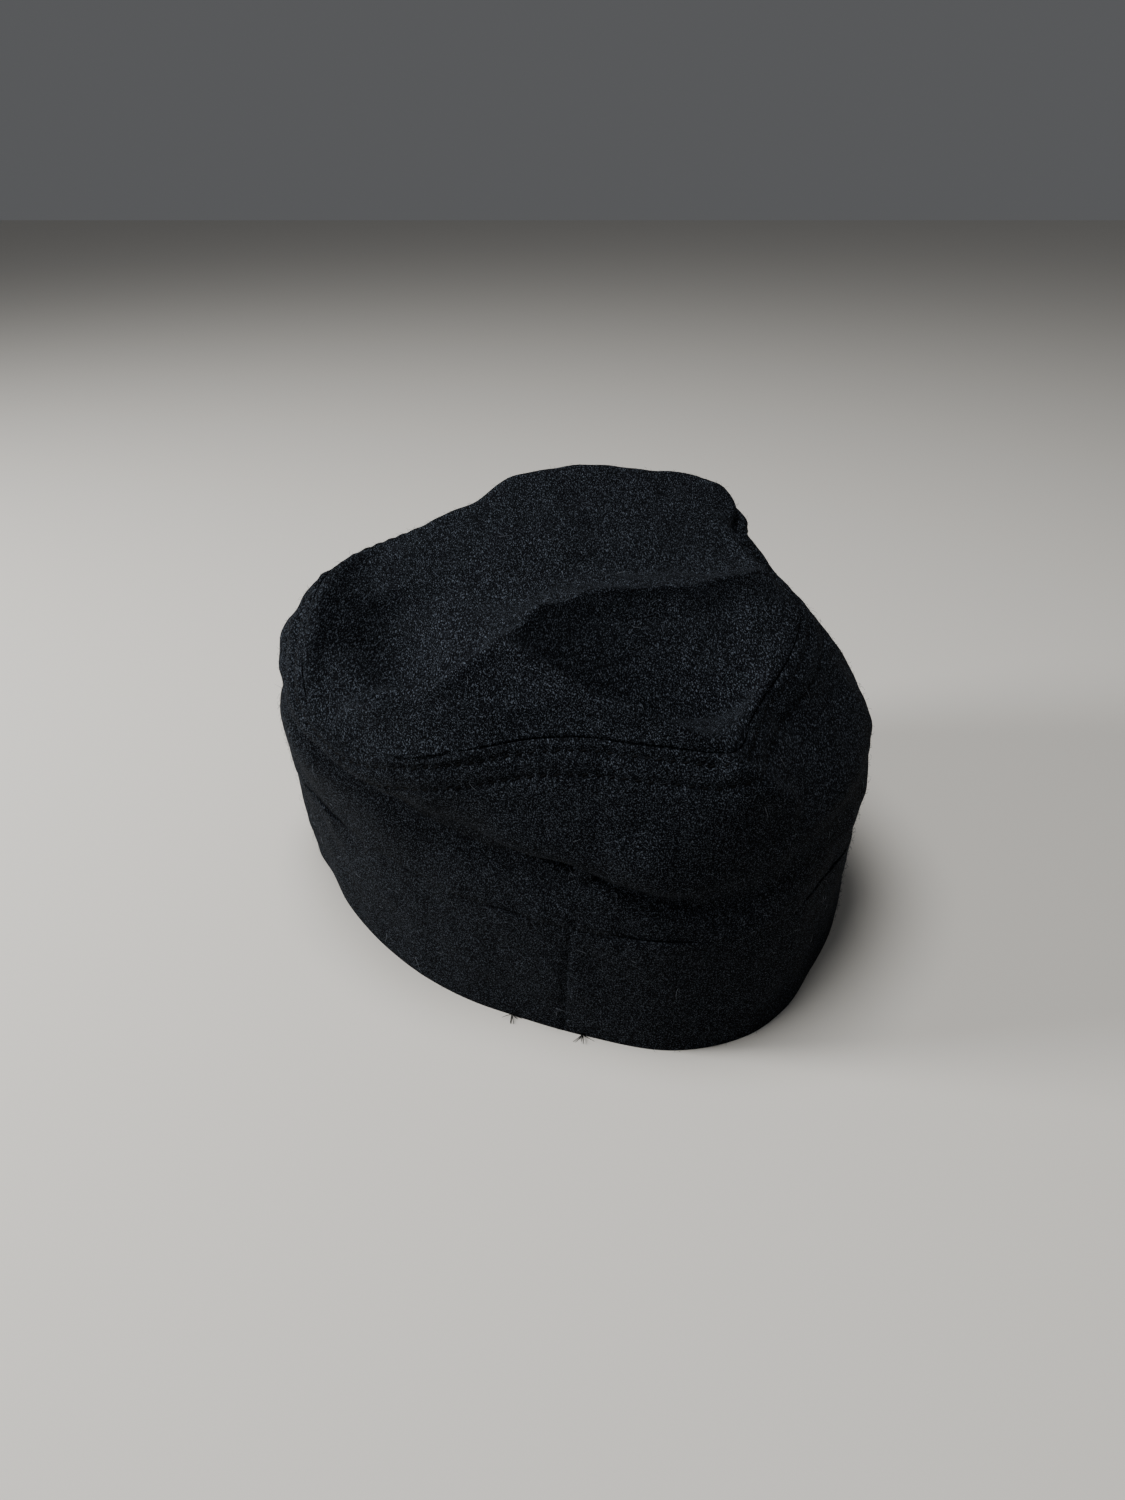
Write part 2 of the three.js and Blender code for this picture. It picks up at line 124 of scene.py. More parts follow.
# Fold lines of the tip: x and y are shares of TIP_RADIUS, up a share of WALL_HEIGHT.
TIP_FOLDS = {
    "left crest": (
        (-0.21, -0.54, 0.87), (-0.30, -0.63, 0.83), (-0.40, -0.68, 0.75),
        (-0.56, -0.65, 0.68), (-0.75, -0.60, 0.64),
    ),
    "right crest": (
        (-0.21, -0.54, 0.87), (-0.10, -0.62, 0.84), (0.12, -0.79, 0.77),
        (0.34, -0.88, 0.74), (0.46, -0.93, 0.70),
    ),
    "far crest": (
        (-0.21, -0.54, 0.87), (-0.08, -0.25, 0.86), (0.10, -0.10, 0.86),
        (0.47, -0.01, 0.85), (0.67, 0.09, 0.85), (0.80, 0.23, 0.84),
    ),
    "rear valley": ((-0.35, -0.15, 0.76), (0.00, 0.20, 0.80), (0.45, 0.28, 0.81)),
    "rear crest": (
        (0.67, 0.89, 1.01), (0.53, 0.95, 1.035), (0.30, 0.95, 1.055), (0.02, 0.97, 1.07),
        (-0.22, 0.90, 1.03), (-0.39, 0.76, 0.93), (-0.60, 0.64, 0.85),
    ),
    "left hollow": (
        (-0.81, 0.23, 0.72), (-0.70, 0.00, 0.66), (-0.63, -0.24, 0.60), (-0.55, -0.42, 0.60),
    ),
    "right hollow": ((0.02, -0.52, 0.64), (0.30, -0.60, 0.56), (0.55, -0.55, 0.57)),
    "far foot": ((0.03, -0.27, 0.77), (0.17, -0.20, 0.76), (0.47, -0.13, 0.76), (0.66, -0.03, 0.77)),
    "left foot": ((-0.33, -0.44, 0.71), (-0.46, -0.55, 0.61), (-0.60, -0.52, 0.57)),
    "right foot": ((-0.05, -0.53, 0.71), (0.14, -0.69, 0.64), (0.34, -0.78, 0.59)),
}
print(len(SECTION_ROWS), "sections and", len(TIP_FOLDS), "fold lines")

# %% [markdown]
# ## The wall's surface
# A section is seven stations from the floor to the rim: floor, seam, bulge, tuck, lip, shoulder and
# rim. A smooth line joins them, and another smooth line carries each station round the cap. A place
# on the wall is then a turn, from 0 to 1, and a bay, from 0 at the floor, through 1 at the band's
# seam, to 6 at the tip's seam.

# %% The wall as a surface of turn and bay
BAYS = 6


def through_slopes(start, end, slope_start, slope_end, part):
    """A cubic from one value to the next, with its slopes at both ends."""
    rise = end - start
    bend = 3 * rise - 2 * slope_start - slope_end
    twist = slope_start + slope_end - 2 * rise
    return start + part * (slope_start + part * (bend + part * twist))


def around(column, turns):
    """A column of the section table at any turns, on a smooth closed line."""
    degrees = np.mod(turns, 1) * 360
    row = np.searchsorted(SECTIONS["turn"], degrees, side="right") - 1
    count = len(SECTION_ROWS)
    value = [SECTIONS[column][(row + step) % count] for step in (-1, 0, 1, 2)]
    place = [SECTIONS["turn"][(row + step) % count] for step in (-1, 0, 1, 2)]
    width = np.mod(place[2] - place[1], 360)
    slope_start = (value[2] - value[0]) / np.mod(place[2] - place[0], 360) * width
    slope_end = (value[3] - value[1]) / np.mod(place[3] - place[1], 360) * width
    return through_slopes(value[1], value[2], slope_start, slope_end, (degrees - place[1]) / width)


def height_of(share):
    return BAND_HEIGHT + share * WALL_HEIGHT


def stations(turns):
    """Radius and height of the nine knots: the seven stations and one beyond each end."""
    radii = [around(name, turns) * OPENING_RADIUS for name in ("floor", "seam", "bulge")]
    lip = around("lip", turns) * OPENING_RADIUS
    radii += [lip - around("tuck", turns) * FOLD_DEPTH, lip]
    radii += [around("shoulder", turns) * OPENING_RADIUS, around("rim", turns) * TIP_RADIUS]
    heights = [np.zeros_like(turns), np.full_like(turns, BAND_HEIGHT)]
    for name in ("bulge_up", "tuck_up", "lip_up", "shoulder_up", "rim_up"):
        heights.append(height_of(around(name, turns)))
    knots = np.stack([radii, heights])
    before = 2 * knots[:, :1] - knots[:, 1:2]
    beyond = 2 * knots[:, -1:] - knots[:, -2:-1]
    return np.concatenate([before, knots, beyond], axis=1)


def wall_points(turns, bays):
    """Points of the wall's outer face, in millimetres: one ring of points for each bay."""
    knots = stations(turns)
    rings = []
    for bay in bays:
        span = min(int(bay), BAYS - 1)
        a, b, c, d = (knots[:, span + step] for step in range(4))
        before, gap, after = (((q - p) ** 2).sum(0) ** 0.25 for p, q in ((a, b), (b, c), (c, d)))
        slope_b = ((b - a) / before - (c - a) / (before + gap) + (c - b) / gap) * gap
        slope_c = ((c - b) / gap - (d - b) / (gap + after) + (d - c) / after) * gap
        radius, height = through_slopes(b, c, slope_b, slope_c, bay - span)
        angle = 2 * math.pi * turns
        rings.append(np.stack([radius * np.cos(angle), radius * np.sin(angle), height], axis=1))
    return np.array(rings)


def unit(vectors):
    return vectors / np.linalg.norm(vectors, axis=-1, keepdims=True)


def ring_normals(rings):
    """Outward normals of a stack of closed rings, from their neighbours."""
    along = np.roll(rings, -1, axis=1) - np.roll(rings, 1, axis=1)
    up = np.gradient(rings, axis=0)
    return unit(np.cross(along, up))


# %% [markdown]
# ## The tip's surface
# Cloth that is held along its rim and over a few creases lies between them much as a stretched net
# does. So the tip is a net: its border has the rim's height, the fold lines pull it to their own
# heights, and every other node settles to the middle of its four neighbours.

# %% The tip as a stretched net
NET_REACH = 1.3 * TIP_RADIUS
NET_STEP = 1.25
NET_CELLS = 2 * round(NET_REACH / NET_STEP)
NET_SPACING = 2 * NET_REACH / NET_CELLS
CREST_ROUND = 1.4
FOLD_PULL = 2.5
RELAX_PASSES = 420
SMOOTH_PASSES = 2


def rim_points(turns):
    return wall_points(turns, [BAYS])[0]


def nearest_on_line(points, line):
    """Distance from points to a line of straight stretches, and the place on the line."""
    best = np.full(points.shape[:-1], np.inf)
    place = np.zeros(points.shape[:-1] + (line.shape[1],))
    share = np.zeros(points.shape[:-1])
    plan = points.shape[-1]
    for index in range(len(line) - 1):
        start, run = line[index], line[index + 1] - line[index]
        part = ((points - start[:plan]) @ run[:plan]) / (run[:plan] @ run[:plan])
        part = np.clip(part, 0, 1)
        here = start + part[..., None] * run
        distance = np.linalg.norm(points - here[..., :plan], axis=-1)
        closer = distance < best
        best = np.where(closer, distance, best)
        place = np.where(closer[..., None], here, place)
        share = np.where(closer, (index + part) / (len(line) - 1), share)
    return best, place, share


def stretched_net():
    steps = np.linspace(-NET_REACH, NET_REACH, NET_CELLS + 1)
    x, y = np.meshgrid(steps, steps)
    turns = np.arctan2(y, x).ravel() / (2 * math.pi)
    rim = rim_points(turns).reshape(x.shape + (3,))
    free = np.hypot(x, y) < np.hypot(rim[..., 0], rim[..., 1])
    pulls = np.zeros_like(x)
    targets = np.zeros_like(x)
    for fold in TIP_FOLDS.values():
        line = np.array(fold) * (TIP_RADIUS, TIP_RADIUS, 1)
        line[:, 2] = height_of(line[:, 2])
        distance, place, _ = nearest_on_line(np.stack([x, y], axis=-1), line)
        pull = np.exp(-((distance / CREST_ROUND) ** 2))
        pulls += pull
        targets += pull * place[..., 2]
    heights = rim[..., 2].copy()
    row, column = np.indices(x.shape)
    overshoot = 2 / (1 + math.sin(math.pi / NET_CELLS))
    for relax_pass in range(RELAX_PASSES + SMOOTH_PASSES):
        pulled = FOLD_PULL if relax_pass < RELAX_PASSES else 0
        step = overshoot if relax_pass < RELAX_PASSES else 1
        for colour in (0, 1):
            beside = np.zeros_like(heights)
            beside[1:-1, 1:-1] = (
                heights[:-2, 1:-1] + heights[2:, 1:-1] + heights[1:-1, :-2] + heights[1:-1, 2:]
            )
            goal = (beside + pulled * targets) / (4 + pulled * pulls)
            moved = free & ((row + column) % 2 == colour)
            heights[moved] += step * (goal[moved] - heights[moved])
    return heights


NET = stretched_net()


def tip_height(x, y):
    """Height of the net at any points of the plan, on smooth lines through its nodes."""
    across = (np.asarray(x) + NET_REACH) / NET_SPACING
    along = (np.asarray(y) + NET_REACH) / NET_SPACING
    column = np.clip(across.astype(int), 1, NET_CELLS - 2)
    row = np.clip(along.astype(int), 1, NET_CELLS - 2)

    def smooth(values, part):
        before, start, end, after = values
        return through_slopes(start, end, (end - before) / 2, (after - start) / 2, part)

    lines = []
    for up in (-1, 0, 1, 2):
        values = [NET[row + up, column + step] for step in (-1, 0, 1, 2)]
        lines.append(smooth(values, across - column))
    return smooth(lines, along - row)


def smoothstep(value, low, high):
    part = np.clip((value - low) / (high - low), 0, 1)
    return part * part * (3 - 2 * part)


def tip_points(turns, shares):
    """Points of the tip's outer face: a ring for each share, 1 at the seam and 0 at the middle."""
    rim = rim_points(turns)
    rings = []
    for share in shares:
        inner = tip_height(rim[:, 0] * share, rim[:, 1] * share)
        height = inner + smoothstep(share, 0.9, 1) * (rim[:, 2] - inner)
        rings.append(np.stack([rim[:, 0] * share, rim[:, 1] * share, height], axis=1))
    return np.array(rings)


print("net of", NET.shape, "nodes, from", NET.min().round(1), "to", NET.max().round(1), "mm high")

# %% [markdown]
# ## Small folds
# Thick wool doesn't lie dead smooth. It has long low ripples, small puckers along each seam, and a
# few creases that can be named one by one. Ripples are a sum of long waves in many directions.

# %% Ripples, puckers and creases
def ripple(points, size, seed, waves=28):
    """A smooth random value at each point, about -1 to 1, with bumps about that size apart."""
    draws = np.random.default_rng(seed)
    directions = unit(draws.normal(size=(waves, 3)))
    lengths = size * draws.uniform(0.7, 1.6, waves)
    starts = draws.uniform(0, 2 * math.pi, waves)
    angles = points @ (directions / lengths[:, None] * 2 * math.pi).T + starts
    return np.sin(angles).sum(-1) * math.sqrt(2 / waves) / 1.5


def dent(points, line, depth, width, fade=0.2):
    """A crease along a line in space: depth at the line, nothing a few widths away."""
    distance, _, share = nearest_on_line(points, np.asarray(line, float))
    ends = np.minimum(share, 1 - share)
    return -depth * np.exp(-((distance / width) ** 2)) * smoothstep(ends, 0, fade)


def on_wall(places):
    """Points of the wall from pairs of a turn in degrees and a bay."""
    return np.array([wall_points(np.array([turn / 360]), [bay])[0, 0] for turn, bay in places])


def on_tip(places):
    """Points of the tip from pairs of shares of TIP_RADIUS."""
    plan = np.array(places, float) * TIP_RADIUS
    return np.column_stack([plan, tip_height(plan[:, 0], plan[:, 1])])


# Each crease has a depth and a width in millimetres, and a line. A ridge has a negative depth.
WALL_CREASES = {
    "corner ridge": (-3.0, 4.2, on_wall(((297, 5.95), (300, 5.4), (304, 4.9), (311, 4.3)))),
    "corner hollow": (2.2, 7.0, on_wall(((314, 5.8), (324, 5.3), (338, 5.0), (350, 5.0)))),
    "soft tuck": (-3.4, 6.0, on_wall([(turn, 3.0) for turn in range(196, 300, 12)])),
    "pocket under the lip": (2.2, 3.0, on_wall(((256, 3.1), (264, 3.0), (270, 3.0), (275, 3.1)))),
    "front crease": (1.3, 2.6, on_wall(((273, 3.1), (279, 3.0), (286, 3.0), (292, 3.1)))),
    "rear notch": (2.6, 3.0, on_wall(((52, 6.0), (47, 5.9), (42, 5.7), (36, 5.6)))),
    "left wall roll": (-0.8, 3.0, on_wall(((168, 5.0), (182, 5.0), (196, 5.0), (210, 5.0)))),
}
TIP_CREASES = {
    "left crest": (-1.2, 2.8, on_tip([row[:2] for row in TIP_FOLDS["left crest"]])),
    "right crest": (-1.4, 2.8, on_tip([row[:2] for row in TIP_FOLDS["right crest"]])),
    "far crest": (-1.3, 1.8, on_tip([row[:2] for row in TIP_FOLDS["far crest"]])),
    "left hollow": (5.4, 12.0, on_tip(((-0.68, 0.24), (-0.63, 0.0), (-0.56, -0.24), (-0.50, -0.40)))),
    "rear right fold": (
        -2.0, 2.6, on_tip(((0.62, 0.74), (0.69, 0.52), (0.74, 0.36), (0.79, 0.22))),
    ),
    "left soft crease": (0.8, 3.5, on_tip(((-0.80, 0.40), (-0.72, 0.20), (-0.66, 0.0)))),
}


def creased(points, creases):
    """How far all the creases together push each point outwards."""
    return sum(dent(points, line, depth, width) for depth, width, line in creases.values())


def with_creases(rings, normals, creases):
    """Rings pushed along their normals by the creases."""
    return rings + creased(rings, creases)[..., None] * normals


# %% [markdown]
# ## Sewing the pieces
# Every piece is a closed loop of cloth: up the outer face, over the edge, and back down the inner
# face. A grid is wrapped round that loop and its meeting edges are merged, so the cloth has a real
# thickness and no open edge.

# %% Wrap a grid into a piece
def wrapped_piece(name, rings):
    """A mesh piece from rings of points in millimetres, closed both ways."""
    rings = np.concatenate([rings, rings[:1]])
    rows, columns = rings.shape[:2]
    bm = bmesh.new()
    bmesh.ops.create_grid(bm, x_segments=columns, y_segments=rows - 1, size=1, calc_uvs=True)
    bm.verts.ensure_lookup_table()
    around_ring = np.arange(columns + 1) % columns
    points = (rings[:, around_ring] + CAP_SHIFT).reshape(-1, 3) * MM
    for vertex, point in zip(bm.verts, points):
        vertex.co = point
    bmesh.ops.remove_doubles(bm, verts=bm.verts, dist=1e-7)
    bmesh.ops.dissolve_degenerate(bm, dist=1e-8, edges=bm.edges)
    for face in bm.faces:
        face.smooth = True
    mesh = bpy.data.meshes.new(name)
    bm.to_mesh(mesh)
    bm.free()
    piece = bpy.data.objects.new(name, mesh)
    bpy.context.scene.collection.objects.link(piece)
    print(name, len(mesh.vertices), "points", len(mesh.polygons), "faces")
    return piece


# %% [markdown]
# ## The three cloths
# At a seam, both cloths turn inwards side by side, so the line between them is a rounded ditch. The
# ditch is pressed into the smooth face, and the last ring goes down into the seam.

# %% Sizes of the sewing
COLUMNS = 660
BAND_ROWS = 34
WALL_ROWS_LOW = 54
WALL_ROWS_HIGH = 26
WALL_ROWS = WALL_ROWS_LOW + WALL_ROWS_HIGH
HIGH_BAY = 5.3
TIP_RINGS = 90
INNER_ROWS = 12
SEAM_GAP = 0.3
BAND_SEAM_GAP = 0.06
DITCH_DEPTH = 1.1
DITCH_WIDTH = 1.2
PUCKER_LENGTH = 7.0
PUCKER_DEPTH = 0.28
PUCKER_REACH = 5.0
LONG_RIPPLE = (0.45, 26)
SHORT_RIPPLE = (0.22, 11)
FLAT_HEM = (0.5, 8)
STITCH_ROWS = (4.0, 10.5)
STITCH_PITCH = 3.3
STITCH_PULL = 0.8
STITCH_COUNT = round(TIP_GIRTH / STITCH_PITCH)
STITCH_GROOVE = 1.1
ROW_PUFF = (0.35, 2.4)
EDGE_PUFF = (0.4, 2.2)
EDGE_PUFF_PLACE = 4

# The upright seam in the band, and its two stretches on the wall with the topstitch beside the lower.
# Each has a depth and a width in millimetres, and its ends as pairs of a turn and a bay.
BAND_UPRIGHT = (0.9, 1.1, ((270.0, 0.0), (271.2, 1.0)))
WALL_UPRIGHTS = (
    (0.8, 1.1, ((272.3, 1.05), (272.4, 2.4))),
    (0.7, 1.1, ((267.0, 4.4), (266.5, 6.0))),
    (0.5, 1.0, ((274.5, 1.05), (274.6, 2.7))),
)
UPRIGHT_FADE = 0.01

turns = np.arange(COLUMNS) / COLUMNS


def lengths_from_first(rings):
    """How far each ring's points are from the first ring, measured along the cloth."""
    steps = np.linalg.norm(np.diff(rings, axis=0), axis=-1)
    return np.concatenate([np.zeros((1, rings.shape[1])), np.cumsum(steps, axis=0)])


def pressed(distance, depth=DITCH_DEPTH, width=DITCH_WIDTH):
    """A rounded ditch: depth where the distance is 0, nothing a few widths away."""
    return -depth * np.exp(-((distance / width) ** 2))


def puckers(distance, girth, seed):
    """Short waves along a seam, stronger in some stretches than in others."""
    wander = 2.0 * np.sin(2 * math.pi * (turns * 9 + 0.13 * seed))
    wave = np.sin(2 * math.pi * (turns * round(girth / PUCKER_LENGTH)) + wander)
    reach = np.exp(-((distance / PUCKER_REACH) ** 2)) * smoothstep(distance, 0.2, 2.0)
    strength = 0.5 + 0.5 * np.sin(2 * math.pi * (turns * 5 + 0.31 * seed))
    return PUCKER_DEPTH * wave * strength * reach


def near_turn(degrees, width):
    """1 at a turn and nothing far from it, both in degrees."""
    away = np.mod(turns * 360 - degrees + 180, 360) - 180
    return np.exp(-((away / width) ** 2))


def wrinkles(points, seed):
    """Long low ripples with shorter ones on them."""
    depth, size = LONG_RIPPLE
    waves = depth * ripple(points, size, seed)
    depth, size = SHORT_RIPPLE
    return waves + depth * ripple(points, size, seed + 1)


def upright(points, crease):
    """A stretch of the upright seam, pressed into a face."""
    depth, width, places = crease
    return dent(points, on_wall(places), depth, width, fade=UPRIGHT_FADE)


# The band's seam shows only at the front, where its ditch is deepest.
BAND_DITCH_SHARE = 0.06 + 0.45 * near_turn(272, 13)

# %% The band
band_outer = wall_points(turns, np.linspace(0, 1, BAND_ROWS + 1))
band_normals = ring_normals(band_outer)
band_up = lengths_from_first(band_outer)
from_seam = band_up[-1] - band_up
on_floor = smoothstep(band_up, *FLAT_HEM)
band_lift = pressed(from_seam) * BAND_DITCH_SHARE + puckers(from_seam, OPENING_GIRTH, 1)
band_lift += on_floor * wrinkles(band_outer, 11)
band_lift += upright(band_outer, BAND_UPRIGHT)
band_face = band_outer + band_lift[..., None] * band_normals
band_face[-1, :, 2] -= BAND_SEAM_GAP / 2
inner_picks = np.linspace(BAND_ROWS, 0, INNER_ROWS // 2 + 1).astype(int)
band_inner = (band_outer - CLOTH_THICKNESS * band_normals)[inner_picks]
band_inner[-1, :, 2] = 0
band_inner[0, :, 2] -= SEAM_GAP / 2
band_face[0, :, 2] = 0
band = wrapped_piece("wool_band", np.concatenate([band_face, band_inner]))

# %% The side wall
low_bays = np.linspace(1, HIGH_BAY, WALL_ROWS_LOW + 1)
high_bays = np.linspace(HIGH_BAY, BAYS, WALL_ROWS_HIGH + 1)
wall_bays = np.concatenate([low_bays, high_bays[1:]])
wall_outer = wall_points(turns, wall_bays)
wall_outer = with_creases(wall_outer, ring_normals(wall_outer), WALL_CREASES)
wall_normals = ring_normals(wall_outer)
wall_up = lengths_from_first(wall_outer)
from_rim = wall_up[-1] - wall_up
wall_lift = pressed(wall_up) * BAND_DITCH_SHARE + pressed(from_rim)
wall_lift += puckers(wall_up, OPENING_GIRTH, 2) + puckers(from_rim, TIP_GIRTH, 3)
wall_lift += wrinkles(wall_outer, 21)
rim_steps = np.linalg.norm(np.roll(wall_outer[-1], -1, axis=0) - wall_outer[-1], axis=1)
rim_reach = np.concatenate([[0], np.cumsum(rim_steps)]) / rim_steps.sum()
stitch_wave = np.cos(2 * math.pi * rim_reach[:-1] * STITCH_COUNT)
for row_distance in STITCH_ROWS:
    groove = pressed(from_rim - row_distance, STITCH_PULL, STITCH_GROOVE)
    wall_lift += groove * (0.7 + 0.4 * stitch_wave)
wall_lift -= pressed(from_rim - np.mean(STITCH_ROWS), *ROW_PUFF)
for crease in WALL_UPRIGHTS:
    wall_lift += upright(wall_outer, crease)
wall_face = wall_outer + wall_lift[..., None] * wall_normals
wall_face[0, :, 2] += BAND_SEAM_GAP / 2

tip_shares = 1 - (np.arange(TIP_RINGS + 1) / TIP_RINGS) ** 1.05


def tip_normals_of(rings):
    """Normals of the tip: its first ring and its middle point take their neighbours' own."""
    normals = ring_normals(rings[:-1])
    normals[0] = normals[2]
    return np.concatenate([normals, np.tile(normals[-1].mean(0), (1, COLUMNS, 1))])


tip_outer = tip_points(turns, tip_shares)
tip_outer = with_creases(tip_outer, tip_normals_of(tip_outer), TIP_CREASES)
tip_normals = tip_normals_of(tip_outer)
inward = -unit(wall_normals[-1] + tip_normals[1])
along_rim = np.roll(tip_outer[0], -1, axis=0) - np.roll(tip_outer[0], 1, axis=0)
to_tip = unit(np.cross(along_rim, inward))
outwards = (to_tip[:, :2] * tip_outer[0, :, :2]).sum(1) > 0
to_tip[outwards] *= -1

rim = tip_outer[0]
wall_face[-1] = rim + DITCH_DEPTH * inward
inner_picks = np.linspace(WALL_ROWS, 0, INNER_ROWS + 1).astype(int)
wall_inner = (wall_outer - CLOTH_THICKNESS * wall_normals)[inner_picks]
wall_inner[0] = rim + CLOTH_THICKNESS * inward
side_wall = wrapped_piece("wool_side_wall", np.concatenate([wall_face, wall_inner]))

# %% The tip
tip_in = lengths_from_first(tip_outer)
tip_lift = pressed(tip_in) + puckers(tip_in, TIP_GIRTH, 4)
tip_lift += wrinkles(tip_outer, 31) * smoothstep(tip_in, 2, 8)
tip_lift -= pressed(tip_in - EDGE_PUFF_PLACE, *EDGE_PUFF)
middle = smoothstep(tip_shares, 0.0, 0.12)[:, None]
tip_face = tip_outer + (tip_lift * middle)[..., None] * tip_normals
tip_face[0] = rim + DITCH_DEPTH * inward + SEAM_GAP * to_tip
inner_picks = np.linspace(TIP_RINGS, 0, INNER_ROWS + 1).astype(int)
tip_inner = (tip_outer - CLOTH_THICKNESS * tip_normals)[inner_picks]
tip_inner[-1] = rim + CLOTH_THICKNESS * inward + SEAM_GAP * to_tip
top_panel = wrapped_piece("wool_top_panel", np.concatenate([tip_face, tip_inner]))

# %% [markdown]
# ## Stitches and loose fibres
# Two rows of topstitch hold the seam's edges down under the tip. Each stitch is a short slanting
# capsule of thread, half sunk in the nap. The nap itself is raised by thousands of short fibres that
# stand out of the cloth, and a few longer ones have come loose.

# %% Many copies of one small shape
def small_shape(make):
    """Points and faces of one small shape that a bmesh operator makes."""
    bm = bmesh.new()
    make(bm)
    bm.verts.index_update()
    points = np.array([vertex.co[:] for vertex in bm.verts])
    faces = [[vertex.index for vertex in face.verts] for face in bm.faces]
    bm.free()
    return points, faces


def joined_copies(name, faces, copies):
    """One mesh of many copies of a small shape; copies holds each one's points in millimetres."""
    step = copies.shape[1]
    placed = (copies.reshape(-1, 3) + CAP_SHIFT) * MM
    placed[:, 2] = np.maximum(placed[:, 2], 0.0)
    mesh = bpy.data.meshes.new(name)
    corners = []
    for first in range(0, step * len(copies), step):
        corners += [[first + corner for corner in face] for face in faces]
    mesh.from_pydata(placed.tolist(), [], corners)
    mesh.shade_smooth()
    piece = bpy.data.objects.new(name, mesh)
    bpy.context.scene.collection.objects.link(piece)
    print(name, len(copies), "copies,", len(mesh.polygons), "faces")
    return piece


# %% Two rows of topstitch
THREAD_RADIUS = 0.4
STITCH_LENGTH = 2.3
STITCH_SLANT = 0.32
STITCH_RISE = 0.05
capsule, capsule_faces = small_shape(
    lambda bm: bmesh.ops.create_uvsphere(bm, u_segments=6, v_segments=5, radius=1)
)


def row_at(distance):
    """A closed line on the wall at one distance from the tip's seam, and its normals."""
    points = np.zeros((COLUMNS, 3))
    normals = np.zeros((COLUMNS, 3))
    for column in range(COLUMNS):
        reach = from_rim[::-1, column]
        for axis in range(3):
            points[column, axis] = np.interp(distance, reach, wall_face[::-1, column, axis])
            normals[column, axis] = np.interp(distance, reach, wall_normals[::-1, column, axis])
    return points, unit(normals)


def closed_line(values, places):
    """Values of a closed line at shares of the seam's length."""
    values = np.concatenate([values, values[:1]])
    return np.stack([np.interp(places, rim_reach, values[:, axis]) for axis in range(3)], axis=1)


stitches = []
for row_distance in STITCH_ROWS:
    points, normals = row_at(row_distance)
    places = np.arange(STITCH_COUNT) / STITCH_COUNT
    middles = closed_line(points, places)
    up = unit(closed_line(normals, places))
    ahead = closed_line(points, np.minimum(places + 0.5 / STITCH_COUNT, 1)) - middles
    side = unit(np.cross(up, ahead))
    along = unit(np.cross(side, up) + STITCH_SLANT * side)
    side = np.cross(up, along)
    stitches.append(
        (middles + STITCH_RISE * up)[:, None]
        + capsule[None, :, 2:] * along[:, None] * STITCH_LENGTH / 2
        + capsule[None, :, :1] * side[:, None] * THREAD_RADIUS
        + capsule[None, :, 1:2] * up[:, None] * THREAD_RADIUS
    )
topstitch = joined_copies("topstitch", capsule_faces, np.concatenate(stitches))

# %% Fibres of the nap
NAP_FIBRES = 9000
NAP_LENGTHS = (0.8, 2.2)
NAP_RADIUS = 0.05
NAP_LIFT = 1.0
LOOSE_FIBRES = 200
LOOSE_LENGTHS = (1.2, 4.0)
LOOSE_RADIUS = 0.05
LOOSE_LIFT = 0.5


def make_fibre(bm):
    bmesh.ops.create_cone(bm, cap_ends=True, segments=3, radius1=1, radius2=0.5, depth=1)
    for height in (-0.2, 0.15):
        geometry = bm.verts[:] + bm.edges[:] + bm.faces[:]
        bmesh.ops.bisect_plane(bm, geom=geometry, plane_co=(0, 0, height), plane_no=(0, 0, 1))


fibre, fibre_faces = small_shape(make_fibre)


def scattered_fibres(name, faces, count, lengths, radius, lift, seed):
    """Curved fibres that leave the cloth at random places, spread evenly over its faces."""
    draws = np.random.default_rng(seed)
    places, normals, areas = [], [], []
    for face, face_normals in faces:
        across = np.linalg.norm(np.roll(face, -1, axis=1) - face, axis=-1)
        upward = np.linalg.norm(np.gradient(face, axis=0), axis=-1)
        places.append(face.reshape(-1, 3))
        normals.append(face_normals.reshape(-1, 3))
        areas.append((across * upward).ravel())
    areas = np.concatenate(areas)
    picks = draws.choice(len(areas), count, p=areas / areas.sum())
    up = np.concatenate(normals)[picks]
    start = np.concatenate(places)[picks] + draws.uniform(-0.5, 0.5, (count, 3)) - 0.1 * up
    along = unit(np.cross(up, draws.normal(size=(count, 3))))
    side = np.cross(up, along)
    length = draws.uniform(*lengths, (count, 1))
    rise = draws.uniform(0.3, 1.0, (count, 1)) * lift
    curl = draws.uniform(-0.6, 0.6, (count, 1))
    part = fibre[:, 2] + 0.5
    path = (
        start[:, None]
        + (length * part)[..., None] * along[:, None]
        + (rise * np.sin(math.pi * 0.6 * part))[..., None] * up[:, None]
        + (curl * length * part**2)[..., None] * side[:, None]
    )
    path += radius * (fibre[None, :, :1] * side[:, None] + fibre[None, :, 1:2] * up[:, None])
    return joined_copies(name, fibre_faces, path)



